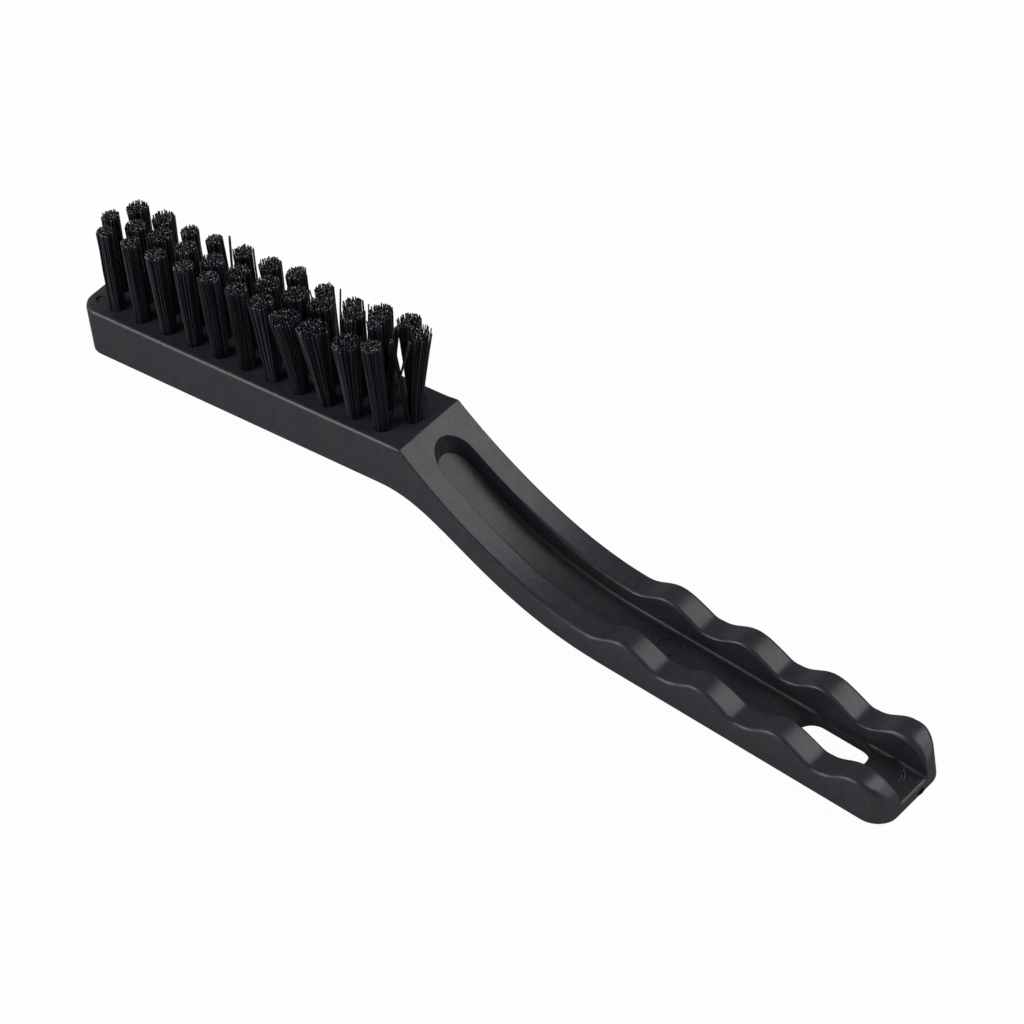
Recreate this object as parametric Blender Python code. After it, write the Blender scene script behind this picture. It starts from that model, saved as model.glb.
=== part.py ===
"""Anti-static hand brush.

One moulded handle carries three staggered rows of stapled bristle tufts.
The brush is drawn in its own frame: x runs from the bristle block to the hanging end,
z stands square on the bristle face, and x = 0, z = 0 is the crease where the neck starts.
It is then laid on its back, bristles up, as it rests on a bench.
"""
import math
import random

import bmesh
import bpy
from mathutils import Vector

# Bristle block, the straight bar that holds the tufts
BLOCK_LENGTH = 0.0848
BLOCK_BACK_WIDTH = 0.0183
BLOCK_TIP_THICKNESS = 0.0109
BLOCK_NECK_THICKNESS = 0.0112
TIP_CORNER_RADIUS = 0.0038
SIDE_DRAFT_DEGREES = 0.9
SHARP_EDGE_RADIUS = 0.0005

# Neck, the bent part between the block and the grip
NECK_FACE_DEGREES = 46.5
NECK_FACE_LEAD = 0.0203
NECK_FACE_TRAIL = 0.0129
NECK_BACK_SETBACK = 0.0065
NECK_BACK_LEAD = 0.0151
NECK_BACK_TRAIL = 0.0311
KNEE_X = 0.0460
KNEE_DROP = 0.0322

# Grip, an open channel with wavy rails
GRIP_ANGLE_DEGREES = 8.2
GRIP_BACK_WIDTH = 0.0198
TAIL_BACK_WIDTH = 0.0203
GRIP_EDGE_RADIUS = 0.0013
FIRST_VALLEY_X = 0.04285
FINGER_PITCH = 0.0180
FINGER_CRESTS = 4
RAIL_LOW = 0.0059
RAIL_START_HIGH = 0.0087
RAIL_END_HIGH = 0.0093
TAIL_ROLL = 0.0060
TAIL_LIP = 0.0007
TAIL_CORNER_RADIUS = 0.0051

# Channel and hanging slot
CHANNEL_START_X = 0.0023
CHANNEL_FLOOR_WIDTH = 0.0083
CHANNEL_DRAFT_DEGREES = 3.5
CHANNEL_FLOOR_RADIUS = 0.0009
CHANNEL_EDGE_CHAMFER = 0.0004
FLOOR_THICKNESS = 0.0025
FLOOR_START_RISE = 0.0038
FLOOR_START_RUN = 0.0160
SLOT_LENGTH = 0.0160
SLOT_WIDTH = 0.0072
SLOT_TO_TAIL = 0.0112

# Tufts and their holes
TUFT_PITCH = 0.0070
ROW_SPACING = 0.0050
LAST_TUFT_TO_CREASE = 0.0038
LEAST_TUFT_TO_TIP = 0.0036
HOLE_DIAMETER = 0.0033
HOLE_DEPTH = 0.0070
HOLE_SIDES = 16
TUFT_CLEARANCE = 0.0003
TUFT_SIDES = 8
BRISTLE_LENGTH = 0.0195
TRIM_SCATTER = 0.0005
STRAND_WIDTH = 0.00058
STRAND_SIDES = 3
ANCHOR_THICKNESS = 0.0004
ANCHOR_HEIGHT = 0.0015
ANCHOR_WIDTH = 0.0022

# Hand-chosen shares: how far each tuft's top leans, as a share of the tuft pitch (x, y)
FRONT_LEAN_SHARES = (
    (0.13, 0.07), (0.06, 0.06), (0.04, 0.04), (0.09, 0.06), (0.03, 0.06), (0.06, 0.06),
    (-0.01, 0.06), (0.07, -0.10), (0.03, -0.08), (0.18, -0.07), (0.00, 0.06),
)
MIDDLE_LEAN_SHARES = (
    (0.22, -0.01), (0.13, 0.01), (0.07, 0.04), (0.09, -0.01), (0.14, -0.03), (0.10, -0.04),
    (0.11, 0.03), (0.10, 0.08), (0.04, 0.10), (0.10, 0.14), (0.02, 0.20), (0.10, 0.42),
)
REAR_LEAN_SHARES = (
    (0.14, -0.07), (0.09, 0.00), (0.20, -0.08), (0.14, -0.03), (0.11, 0.00), (0.16, -0.04),
    (0.07, 0.04), (0.20, -0.08), (0.22, -0.09), (0.16, 0.03), (0.14, 0.09),
)
# Strand rings in a tuft: how many strands, and their ring's radius as a share of the root's
STRAND_RING_SHARES = ((4, 0.30), (10, 0.73))
# How much wider a tuft is at its trimmed top than at its root
FAN_SHARE = 1.62
# How far the two halves of a tuft part at the top, as a share of the root's radius
PARTING_SHARE = 0.10

# Modelling steps and overruns
CUT_OVERRUN = 0.0010
STATION_STEP = 0.0024
STATIONS_PER_FINGER = 12
CORNER_STEPS = 5
TAIL_STEPS = 6
EDGE_STEPS = 3
SLOT_END_STEPS = 8
START_STEPS = 7
CURVE_HALVINGS = 40
SMOOTH_DEGREES = 32

block_tip_x = -BLOCK_LENGTH
first_crest_x = FIRST_VALLEY_X + FINGER_PITCH / 2
last_crest_x = first_crest_x + (FINGER_CRESTS - 1) * FINGER_PITCH
tail_x = last_crest_x + TAIL_ROLL
grip_slope = math.tan(math.radians(GRIP_ANGLE_DEGREES))
side_slope = math.tan(math.radians(SIDE_DRAFT_DEGREES))
channel_slope = math.tan(math.radians(CHANNEL_DRAFT_DEGREES))


def clear_scene():
    for item in list(bpy.data.objects):
        bpy.data.objects.remove(item, do_unlink=True)


def steps_between(start, end, count):
    """Count + 1 evenly spaced values from start to end."""
    return [start + (end - start) * step / count for step in range(count + 1)]


def curve_from(start, start_degrees, lead, end, end_degrees, trail):
    """A cubic curve in the side view that leaves and arrives at given downward angles."""
    start_turn = math.radians(start_degrees)
    end_turn = math.radians(end_degrees)
    leaving = Vector((math.cos(start_turn), -math.sin(start_turn))) * lead
    arriving = Vector((math.cos(end_turn), -math.sin(end_turn))) * trail
    start, end = Vector(start), Vector(end)
    return start, start + leaving, end - arriving, end


def height_on(curve, x):
    """Height of a side-view curve at x, found by halving."""
    low, high = 0.0, 1.0
    for _ in range(CURVE_HALVINGS):
        middle = (low + high) / 2
        point = point_on(curve, middle)
        if point.x < x:
            low = middle
        else:
            high = middle
    return point_on(curve, (low + high) / 2).y


def point_on(curve, t):
    weights = ((1 - t) ** 3, 3 * t * (1 - t) ** 2, 3 * t * t * (1 - t), t ** 3)
    return sum((weight * point for weight, point in zip(weights, curve)), Vector((0.0, 0.0)))


neck_back = curve_from(
    (-NECK_BACK_SETBACK, -BLOCK_NECK_THICKNESS), 0.0, NECK_BACK_LEAD,
    (KNEE_X, -KNEE_DROP), GRIP_ANGLE_DEGREES, NECK_BACK_TRAIL)


def back_z(x):
    """The brush's back in the side view, the lower outline."""
    if x <= -NECK_BACK_SETBACK:
        along = (x - block_tip_x) / (BLOCK_LENGTH - NECK_BACK_SETBACK)
        return -BLOCK_TIP_THICKNESS - along * (BLOCK_NECK_THICKNESS - BLOCK_TIP_THICKNESS)
    if x < KNEE_X:
        return height_on(neck_back, x)
    return -KNEE_DROP - grip_slope * (x - KNEE_X)


def along_grip(x):
    """How far along the grip x is, as a share, from its first valley to its end."""
    return max((x - FIRST_VALLEY_X) / (tail_x - FIRST_VALLEY_X), 0.0)


def rail_height(x):
    """Height of the rails over the back: one rounded crest for each finger."""
    wave = math.cos(2 * math.pi * (x - first_crest_x) / FINGER_PITCH)
    high = RAIL_START_HIGH + along_grip(x) * (RAIL_END_HIGH - RAIL_START_HIGH)
    return RAIL_LOW + (high - RAIL_LOW) * (1 + wave) / 2


neck_face = curve_from(
    (0.0, 0.0), NECK_FACE_DEGREES, NECK_FACE_LEAD,
    (FIRST_VALLEY_X, back_z(FIRST_VALLEY_X) + RAIL_LOW), GRIP_ANGLE_DEGREES, NECK_FACE_TRAIL)


def face_z(x):
    """The bristle face, the neck's face and the rails' tops in the side view."""
    if x <= 0.0:
        return 0.0
    if x < FIRST_VALLEY_X:
        return height_on(neck_face, x)
    if x <= last_crest_x:
        return back_z(x) + rail_height(x)
    foot = back_z(tail_x) + FLOOR_THICKNESS + TAIL_LIP
    crest = back_z(last_crest_x) + rail_height(last_crest_x)
    along = min((x - last_crest_x) / TAIL_ROLL, 1.0)
    return foot + (crest - foot) * math.sqrt(1 - along * along)


def floor_z(x):
    """The channel's floor, which lifts a little towards its closed end."""
    along = min(max((x - CHANNEL_START_X) / FLOOR_START_RUN, 0.0), 1.0)
    return back_z(x) + FLOOR_THICKNESS + FLOOR_START_RISE * (1 - along) ** 2


def ease(share):
    share = min(max(share, 0.0), 1.0)
    return share * share * (3 - 2 * share)


def corner_inset(distance, radius):
    """How far a rounded plan corner draws in at this distance from its end face."""
    gap = max(radius - distance, 0.0)
    return radius - math.sqrt(radius * radius - gap * gap)


def back_half_width(x):
    grown = ease(x / FIRST_VALLEY_X)
    width = BLOCK_BACK_WIDTH + grown * (GRIP_BACK_WIDTH - BLOCK_BACK_WIDTH)
    width += along_grip(x) * (TAIL_BACK_WIDTH - GRIP_BACK_WIDTH)
    half = width / 2 - corner_inset(x - block_tip_x, TIP_CORNER_RADIUS)
    return half - corner_inset(tail_x - x, TAIL_CORNER_RADIUS)


def face_edge_radius(x):
    grown = ease(x / FIRST_VALLEY_X)
    return SHARP_EDGE_RADIUS + grown * (GRIP_EDGE_RADIUS - SHARP_EDGE_RADIUS)


def outer_section(x):
    """Right half of the handle's outer section at x, from the back up to the face."""
    back, face = back_z(x), face_z(x)
    half = back_half_width(x)
    low, high = SHARP_EDGE_RADIUS, face_edge_radius(x)
    top_half = half - side_slope * (face - back)
    points = []
    for step in range(EDGE_STEPS + 1):
        turn = math.pi / 2 * step / EDGE_STEPS
        points.append((half - low + low * math.sin(turn), back + low - low * math.cos(turn)))
    for step in range(EDGE_STEPS + 1):
        turn = math.pi / 2 * step / EDGE_STEPS
        points.append((top_half - high + high * math.cos(turn), face - high + high * math.sin(turn)))
    return points


def channel_section(x):
    """Right half of the channel's section at x, from its floor up past the face."""
    floor, face = floor_z(x), face_z(x)
    radius = CHANNEL_FLOOR_RADIUS
    half = CHANNEL_FLOOR_WIDTH / 2
    gap = max(half - (x - CHANNEL_START_X), 0.0)
    narrowing = math.sqrt(1 - (gap / half) ** 2)
    points = []
    for step in range(EDGE_STEPS + 1):
        turn = math.pi / 2 * step / EDGE_STEPS
        points.append((half - radius + radius * math.sin(turn), floor + radius - radius * math.cos(turn)))
    wall_top = face - CHANNEL_EDGE_CHAMFER
    wall_half = half + channel_slope * (wall_top - floor)
    points.append((wall_half, wall_top))
    flare = CHANNEL_EDGE_CHAMFER + CUT_OVERRUN
    points.append((wall_half + flare, wall_top + flare))
    return [(y * narrowing, z) for y, z in points]


def loft(name, stations, section):
    """A closed mesh through mirrored sections, one at each station along x."""
    mesh = bmesh.new()
    rings = []
    for x in stations:
        right = section(x)
        ring = [mesh.verts.new((x, y, z)) for y, z in right]
        ring += [mesh.verts.new((x, -y, z)) for y, z in reversed(right)]
        rings.append(ring)
    for ring, following in zip(rings, rings[1:]):
        for index, vertex in enumerate(ring):
            beside = (index + 1) % len(ring)
            mesh.faces.new((vertex, ring[beside], following[beside], following[index]))
    mesh.faces.new(rings[0])
    mesh.faces.new(rings[-1])
    return finish_mesh(name, mesh)


def finish_mesh(name, mesh):
    bmesh.ops.recalc_face_normals(mesh, faces=mesh.faces)
    data = bpy.data.meshes.new(name)
    mesh.to_mesh(data)
    mesh.free()
    item = bpy.data.objects.new(name, data)
    bpy.context.scene.collection.objects.link(item)
    return item


def prism_in(mesh, low_ring, high_ring):
    """Add one closed prism between two rings of points to a mesh."""
    low = [mesh.verts.new(point) for point in low_ring]
    high = [mesh.verts.new(point) for point in high_ring]
    mesh.faces.new(low)
    mesh.faces.new(high)
    for index in range(len(low)):
        beside = (index + 1) % len(low)
        mesh.faces.new((low[index], low[beside], high[beside], high[index]))


def circle_points(centre_x, centre_y, radius, z, sides):
    turns = [2 * math.pi * (index + 0.5) / sides for index in range(sides)]
    return [(centre_x + radius * math.cos(turn), centre_y + radius * math.sin(turn), z) for turn in turns]


def combine(item, guides, operation):
    """Cut the guides from an item, or join them to it, and clear the guides away."""
    for guide in guides:
        step = item.modifiers.new(guide.name, 'BOOLEAN')
        step.operation = operation
        step.solver = 'EXACT'
        step.object = guide
    graph = bpy.context.evaluated_depsgraph_get()
    plain = item.data
    item.data = bpy.data.meshes.new_from_object(item.evaluated_get(graph))
    item.modifiers.clear()
    for guide in guides:
        bpy.data.objects.remove(guide, do_unlink=True)
    bpy.data.meshes.remove(plain)


def plastic(name, colour, roughness):
    finish = bpy.data.materials.new(name)
    finish.use_nodes = True
    shader = finish.node_tree.nodes['Principled BSDF']
    shader.inputs['Base Color'].default_value = (*colour, 1.0)
    shader.inputs['Roughness'].default_value = roughness
    shader.inputs['Metallic'].default_value = 0.0
    return finish


def handle_stations():
    """Places of the handle's sections, closer together where the outline turns."""
    tip_end = block_tip_x + TIP_CORNER_RADIUS
    quarter = [math.pi / 2 * step / CORNER_STEPS for step in range(CORNER_STEPS + 1)]
    places = [block_tip_x + TIP_CORNER_RADIUS * (1 - math.cos(turn)) for turn in quarter]
    places += steps_between(tip_end, -NECK_BACK_SETBACK, round(BLOCK_LENGTH / TUFT_PITCH / 2))[1:]
    crease = SHARP_EDGE_RADIUS / 2
    before = -NECK_BACK_SETBACK
    places += steps_between(before, -crease, round(NECK_BACK_SETBACK / STATION_STEP))[1:]
    places += steps_between(crease, FIRST_VALLEY_X, round(FIRST_VALLEY_X / STATION_STEP))
    grip_steps = round((last_crest_x - FIRST_VALLEY_X) / FINGER_PITCH * STATIONS_PER_FINGER)
    places += steps_between(FIRST_VALLEY_X, last_crest_x, grip_steps)[1:]
    tail_turns = [math.pi / 2 * step / TAIL_STEPS for step in range(1, TAIL_STEPS + 1)]
    return places + [last_crest_x + TAIL_ROLL * math.sin(turn) for turn in tail_turns]


def channel_stations():
    """Places of the channel's sections, from its round closed end to past the tail."""
    half = CHANNEL_FLOOR_WIDTH / 2
    turns = [math.pi / 2 * step / START_STEPS for step in range(1, START_STEPS + 1)]
    places = [CHANNEL_START_X + half * (1 - math.cos(turn)) for turn in turns]
    rest = [x for x in handle_stations() if x > places[-1] + CUT_OVERRUN]
    return places + rest + [tail_x + CUT_OVERRUN]


def slot_cutter():
    """The hanging slot's cutter, a prism with round ends, square to the bristle face."""
    radius = SLOT_WIDTH / 2
    end_x = tail_x - SLOT_TO_TAIL - radius
    start_x = tail_x - SLOT_TO_TAIL - SLOT_LENGTH + radius
    outline = []
    for centre, first in ((end_x, -math.pi / 2), (start_x, math.pi / 2)):
        for step in range(SLOT_END_STEPS + 1):
            turn = first + math.pi * step / SLOT_END_STEPS
            outline.append((centre + radius * math.cos(turn), radius * math.sin(turn)))
    mesh = bmesh.new()
    under = [(x, y, back_z(x) - CUT_OVERRUN) for x, y in outline]
    over = [(x, y, floor_z(x) + CUT_OVERRUN) for x, y in outline]
    prism_in(mesh, under, over)
    return finish_mesh('slot_cutter', mesh)


def tuft_places():
    """Name, foot and lean of every tuft, row by row from the front."""
    row_length = BLOCK_LENGTH - LAST_TUFT_TO_CREASE - LEAST_TUFT_TO_TIP
    gaps = int(row_length / TUFT_PITCH)
    first_middle_x = -LAST_TUFT_TO_CREASE - gaps * TUFT_PITCH
    outer_x = first_middle_x + TUFT_PITCH / 2
    rows = (
        ('front', outer_x, -ROW_SPACING, FRONT_LEAN_SHARES, gaps),
        ('middle', first_middle_x, 0.0, MIDDLE_LEAN_SHARES, gaps + 1),
        ('rear', outer_x, ROW_SPACING, REAR_LEAN_SHARES, gaps),
    )
    places = []
    for row, start_x, y, leans, count in rows:
        for index in range(count):
            share = leans[index % len(leans)]
            lean = (share[0] * TUFT_PITCH, share[1] * TUFT_PITCH)
            places.append((f'tuft_{row}_{index + 1:02d}', start_x + index * TUFT_PITCH, y, lean))
    return places


def hole_cutters(places):
    """One cutter mesh for all the tuft holes."""
    mesh = bmesh.new()
    radius = HOLE_DIAMETER / 2
    for _, x, y, _ in places:
        bottom = circle_points(x, y, radius, -HOLE_DEPTH, HOLE_SIDES)
        top = circle_points(x, y, radius, CUT_OVERRUN, HOLE_SIDES)
        prism_in(mesh, bottom, top)
    return finish_mesh('hole_cutters', mesh)


def make_handle(places, finish):
    """The one-piece moulding: its channel, hanging slot and tuft holes are cut out."""
    handle = loft('handle', handle_stations(), outer_section)
    channel = loft('channel_cutter', channel_stations(), channel_section)
    combine(handle, (channel, slot_cutter(), hole_cutters(places)), 'DIFFERENCE')
    handle.data.shade_smooth()
    handle.data.set_sharp_from_angle(angle=math.radians(SMOOTH_DEGREES))
    handle.data.materials.append(finish)


def strand_rings(turn, foot, top):
    """Low and high rings of one three-sided strand, a flat side turned outwards."""
    reach = STRAND_WIDTH / (2 * math.sin(math.pi / STRAND_SIDES))
    corners = [turn + math.pi + 2 * math.pi * index / STRAND_SIDES for index in range(STRAND_SIDES)]
    ring = [Vector((math.cos(corner), math.sin(corner), 0.0)) * reach for corner in corners]
    return [foot + offset for offset in ring], [top + offset for offset in ring]


def bar_ring(x, y, z):
    """Outline of the flat wire that holds a tuft down in its hole."""
    half_x, half_y = ANCHOR_THICKNESS / 2, ANCHOR_WIDTH / 2
    return [(x - half_x, y - half_y, z), (x + half_x, y - half_y, z),
            (x + half_x, y + half_y, z), (x - half_x, y + half_y, z)]


def make_tuft(name, x, y, lean, finish, chance):
    """A tuft's folded root on its flat-wire anchor, and its strands fused to the root."""
    root_radius = HOLE_DIAMETER / 2 - TUFT_CLEARANCE
    root_top = -TUFT_CLEARANCE
    anchor_foot = TUFT_CLEARANCE - HOLE_DEPTH
    root_foot = anchor_foot + ANCHOR_HEIGHT - ANCHOR_THICKNESS
    root = bmesh.new()
    prism_in(
        root, circle_points(x, y, root_radius, root_foot, TUFT_SIDES),
        circle_points(x, y, root_radius, root_top, TUFT_SIDES))
    tuft = finish_mesh(name, root)

    added = bmesh.new()
    prism_in(added, bar_ring(x, y, anchor_foot), bar_ring(x, y, anchor_foot + ANCHOR_HEIGHT))
    start = chance.uniform(0.0, math.pi)
    parting = PARTING_SHARE * root_radius
    for count, ring_share in STRAND_RING_SHARES:
        for index in range(count):
            turn = start + 2 * math.pi * index / count
            out = Vector((math.cos(turn), math.sin(turn), 0.0)) * root_radius * ring_share
            side = parting if out.x > 0.0 else -parting
            foot = Vector((x, y, root_top - STRAND_WIDTH)) + out
            top = Vector((x + lean[0] + side, y + lean[1], BRISTLE_LENGTH)) + out * FAN_SHARE
            top.z += chance.uniform(-TRIM_SCATTER, TRIM_SCATTER)
            prism_in(added, *strand_rings(turn, foot, top))
    combine(tuft, [finish_mesh(f'{name}_strands', added)], 'UNION')
    tuft.data.materials.append(finish)


def lay_down(pieces):
    """Tip the brush onto its block's tip and its knee, centred on the origin."""
    tip_z = back_z(block_tip_x)
    lean = max(
        math.atan2(tip_z - back_z(x), x - block_tip_x)
        for x in handle_stations() if x > 0.0)
    cosine, sine = math.cos(lean), math.sin(lean)
    reach = [vertex.co for item in pieces for vertex in item.data.vertices]
    along = [point.x * cosine - point.z * sine for point in reach]
    up = [point.x * sine + point.z * cosine for point in reach]
    bench = bpy.data.objects.new('bench_frame', None)
    bpy.context.scene.collection.objects.link(bench)
    bench.rotation_euler = (0.0, -lean, 0.0)
    bench.location = (-(min(along) + max(along)) / 2, 0.0, -min(up))
    for item in pieces:
        item.parent = bench


def main():
    clear_scene()
    chance = random.Random(7)
    black_plastic = plastic('black_plastic', (0.036, 0.036, 0.039), 0.5)
    black_nylon = plastic('black_nylon', (0.010, 0.010, 0.013), 0.4)
    places = tuft_places()
    make_handle(places, black_plastic)
    for name, x, y, lean in places:
        make_tuft(name, x, y, lean, black_nylon, chance)
    lay_down(list(bpy.data.objects))


main()
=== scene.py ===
"""Anti-static hand brush: the looks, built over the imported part.

The brush is drawn in its own frame and then laid down. x runs from the bristle block's tip
to the hanging end, z stands square on the bristle face, and x = 0, z = 0 is the crease where
the neck starts. Lengths are in metres.
"""
import math
import random

import bmesh
import bpy
from mathutils import Matrix, Vector


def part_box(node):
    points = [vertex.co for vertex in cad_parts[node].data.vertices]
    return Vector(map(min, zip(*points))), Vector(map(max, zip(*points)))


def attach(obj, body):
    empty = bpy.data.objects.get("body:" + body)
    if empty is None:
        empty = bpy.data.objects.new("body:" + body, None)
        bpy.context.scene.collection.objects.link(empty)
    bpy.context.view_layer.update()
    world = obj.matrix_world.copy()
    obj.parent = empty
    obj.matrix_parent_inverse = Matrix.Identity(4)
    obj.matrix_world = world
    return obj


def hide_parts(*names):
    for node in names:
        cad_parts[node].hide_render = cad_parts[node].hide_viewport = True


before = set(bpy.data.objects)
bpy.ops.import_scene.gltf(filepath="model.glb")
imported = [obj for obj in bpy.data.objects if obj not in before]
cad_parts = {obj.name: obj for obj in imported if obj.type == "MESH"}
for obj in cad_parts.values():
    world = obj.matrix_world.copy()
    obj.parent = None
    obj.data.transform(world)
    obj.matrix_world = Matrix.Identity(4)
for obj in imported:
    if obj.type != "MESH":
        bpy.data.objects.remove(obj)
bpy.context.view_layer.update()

# The handle is one injection moulding in black static-dissipative plastic: a drilled
# block for the bristles, a bent neck and an open-channel grip with four finger waves.
# Its surface is lightly spark-textured, as the mould leaves it.
BLOCK_LENGTH = 0.0848
BLOCK_BACK_WIDTH = 0.0183
BLOCK_TIP_THICKNESS = 0.0109
BLOCK_NECK_THICKNESS = 0.0112
TIP_CORNER_RADIUS = 0.0041
SIDE_DRAFT_DEGREES = 0.9
BLOCK_EDGE_RADIUS = 0.00085
BLOCK_EDGE_RUN = 0.0030
SHARP_EDGE_RADIUS = 0.0004
CREASE_RADIUS = 0.0007

NECK_FACE_DEGREES = 46.5
NECK_FACE_LEAD = 0.0203
NECK_FACE_TRAIL = 0.0129
NECK_BACK_SETBACK = 0.0065
NECK_BACK_LEAD = 0.0151
NECK_BACK_TRAIL = 0.0311
KNEE_X = 0.0460
KNEE_DROP = 0.0322

GRIP_ANGLE_DEGREES = 8.2
GRIP_BACK_WIDTH = 0.0198
TAIL_BACK_WIDTH = 0.0203
GRIP_EDGE_RADIUS = 0.0009
FIRST_VALLEY_X = 0.04285
FINGER_PITCH = 0.0180
FINGER_CRESTS = 4
VALLEY_TURN = 0.16
VALLEY_TURN_LATENESS = 1.6
RAIL_LOW = 0.0059
RAIL_START_HIGH = 0.0087
RAIL_END_HIGH = 0.0093
TAIL_ROLL = 0.0060
TAIL_LIP = 0.0007
TAIL_CORNER_RADIUS = 0.0051

CHANNEL_START_X = 0.0023
CHANNEL_FLOOR_WIDTH = 0.0083
CHANNEL_END_WIDTH = 0.0072
CHANNEL_DRAFT_DEGREES = 3.5
CHANNEL_END_FILLET = 0.0002
CHANNEL_FILLET = 0.0009
NECK_RIM_RADIUS = 0.00015
GRIP_RIM_RADIUS = 0.0007
TAIL_RIM_RADIUS = 0.0014
EDGES_SOFTEN_X = 0.0100
EDGES_SOFTEN_RUN = 0.0200
FLOOR_THICKNESS = 0.0025
FLOOR_START_RISE = 0.0038
FLOOR_START_RUN = 0.0160

SLOT_LENGTH = 0.0160
SLOT_WIDTH = 0.0072
SLOT_TO_TAIL = 0.0112
SLOT_PAD_INSET = 0.0022
SLOT_PAD_RUN = 0.0009
CURVE_HALVINGS = 32

block_tip_x = -BLOCK_LENGTH
first_crest_x = FIRST_VALLEY_X + FINGER_PITCH / 2
last_crest_x = first_crest_x + (FINGER_CRESTS - 1) * FINGER_PITCH
tail_x = last_crest_x + TAIL_ROLL
grip_slope = math.tan(math.radians(GRIP_ANGLE_DEGREES))
side_slope = math.tan(math.radians(SIDE_DRAFT_DEGREES))
channel_slope = math.tan(math.radians(CHANNEL_DRAFT_DEGREES))


def curve_from(start, start_degrees, lead, end, end_degrees, trail):
    """A cubic curve in the side view that leaves and arrives at given downward angles."""
    start_turn, end_turn = math.radians(start_degrees), math.radians(end_degrees)
    leaving = (start[0] + lead * math.cos(start_turn), start[1] - lead * math.sin(start_turn))
    arriving = (end[0] - trail * math.cos(end_turn), end[1] + trail * math.sin(end_turn))
    return start, leaving, arriving, end


def point_on(curve, t):
    weights = ((1 - t) ** 3, 3 * t * (1 - t) ** 2, 3 * t * t * (1 - t), t ** 3)
    return [sum(weight * point[axis] for weight, point in zip(weights, curve)) for axis in (0, 1)]


def height_on(curve, x):
    """Height of a side-view curve at x, found by halving."""
    low, high = 0.0, 1.0
    for _ in range(CURVE_HALVINGS):
        middle = (low + high) / 2
        if point_on(curve, middle)[0] < x:
            low = middle
        else:
            high = middle
    return point_on(curve, (low + high) / 2)[1]


neck_back = curve_from(
    (-NECK_BACK_SETBACK, -BLOCK_NECK_THICKNESS), 0.0, NECK_BACK_LEAD,
    (KNEE_X, -KNEE_DROP), GRIP_ANGLE_DEGREES, NECK_BACK_TRAIL)


def back_z(x):
    """The brush's back in the side view, the lower outline."""
    if x <= -NECK_BACK_SETBACK:
        along = (x - block_tip_x) / (BLOCK_LENGTH - NECK_BACK_SETBACK)
        return -BLOCK_TIP_THICKNESS - along * (BLOCK_NECK_THICKNESS - BLOCK_TIP_THICKNESS)
    if x < KNEE_X:
        return height_on(neck_back, x)
    return -KNEE_DROP - grip_slope * (x - KNEE_X)


def along_grip(x):
    """How far along the grip x is, as a share, from its first valley to its end."""
    return max((x - FIRST_VALLEY_X) / (tail_x - FIRST_VALLEY_X), 0.0)


def rail_height(x):
    """Height of the rails over the back: a crest for each finger, falling quickly to its valley."""
    turn = 2 * math.pi * (x - first_crest_x) / FINGER_PITCH
    wave = math.cos(turn)
    fallen = turn % (2 * math.pi) / (math.pi / 2) - 1
    if 0 < fallen < 1:
        late = fallen ** VALLEY_TURN_LATENESS
        wave -= VALLEY_TURN * (4 * late * (1 - late)) ** 2
    high = RAIL_START_HIGH + along_grip(x) * (RAIL_END_HIGH - RAIL_START_HIGH)
    return RAIL_LOW + (high - RAIL_LOW) * (1 + wave) / 2


neck_face = curve_from(
    (0.0, 0.0), NECK_FACE_DEGREES, NECK_FACE_LEAD,
    (FIRST_VALLEY_X, back_z(FIRST_VALLEY_X) + RAIL_LOW), GRIP_ANGLE_DEGREES, NECK_FACE_TRAIL)
crease_reach = CREASE_RADIUS * math.tan(math.radians(NECK_FACE_DEGREES) / 2)
crease_end_x = CREASE_RADIUS * math.sin(math.radians(NECK_FACE_DEGREES)) - crease_reach


def face_z(x):
    """The bristle face, the crease's small round, the neck's face and the rails' tops."""
    if x <= -crease_reach:
        return 0.0
    if x < crease_end_x:
        return math.sqrt(CREASE_RADIUS ** 2 - (x + crease_reach) ** 2) - CREASE_RADIUS
    if x < FIRST_VALLEY_X:
        return height_on(neck_face, x)
    if x <= last_crest_x:
        return back_z(x) + rail_height(x)
    foot = back_z(tail_x) + FLOOR_THICKNESS + TAIL_LIP
    crest = back_z(last_crest_x) + rail_height(last_crest_x)
    along = min((x - last_crest_x) / TAIL_ROLL, 1.0)
    return foot + (crest - foot) * math.sqrt(1 - along * along)


def from_channel_end(x):
    """Share of the way down the channel's sloping start, from its closed end."""
    return min(max((x - CHANNEL_START_X) / FLOOR_START_RUN, 0.0), 1.0)


def floor_z(x):
    return back_z(x) + FLOOR_THICKNESS + FLOOR_START_RISE * (1 - from_channel_end(x)) ** 2


def ease(share):
    share = min(max(share, 0.0), 1.0)
    return share * share * (3 - 2 * share)


def between(start, end, share):
    return start + (end - start) * share


def steps_between(start, end, count):
    """Even steps from start to end, without the start itself."""
    return [between(start, end, step / count) for step in range(1, count + 1)]


def quarter_sines(count):
    """Sines of even steps round a quarter turn, from 0 to 1."""
    return [math.sin(math.pi / 2 * step / count) for step in range(count + 1)]


def corner_inset(distance, radius):
    """How far a rounded corner draws in at this distance from the end face."""
    gap = min(max(radius - distance, 0.0), radius)
    return radius - math.sqrt(radius * radius - gap * gap)


def back_half_width(x):
    width = between(BLOCK_BACK_WIDTH, GRIP_BACK_WIDTH, ease(x / FIRST_VALLEY_X))
    width += along_grip(x) * (TAIL_BACK_WIDTH - GRIP_BACK_WIDTH)
    half = width / 2 - corner_inset(x - block_tip_x, TIP_CORNER_RADIUS)
    return half - corner_inset(tail_x - x, TAIL_CORNER_RADIUS)


def floor_half_width(x):
    return between(CHANNEL_END_WIDTH, CHANNEL_FLOOR_WIDTH, ease(from_channel_end(x))) / 2


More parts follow.
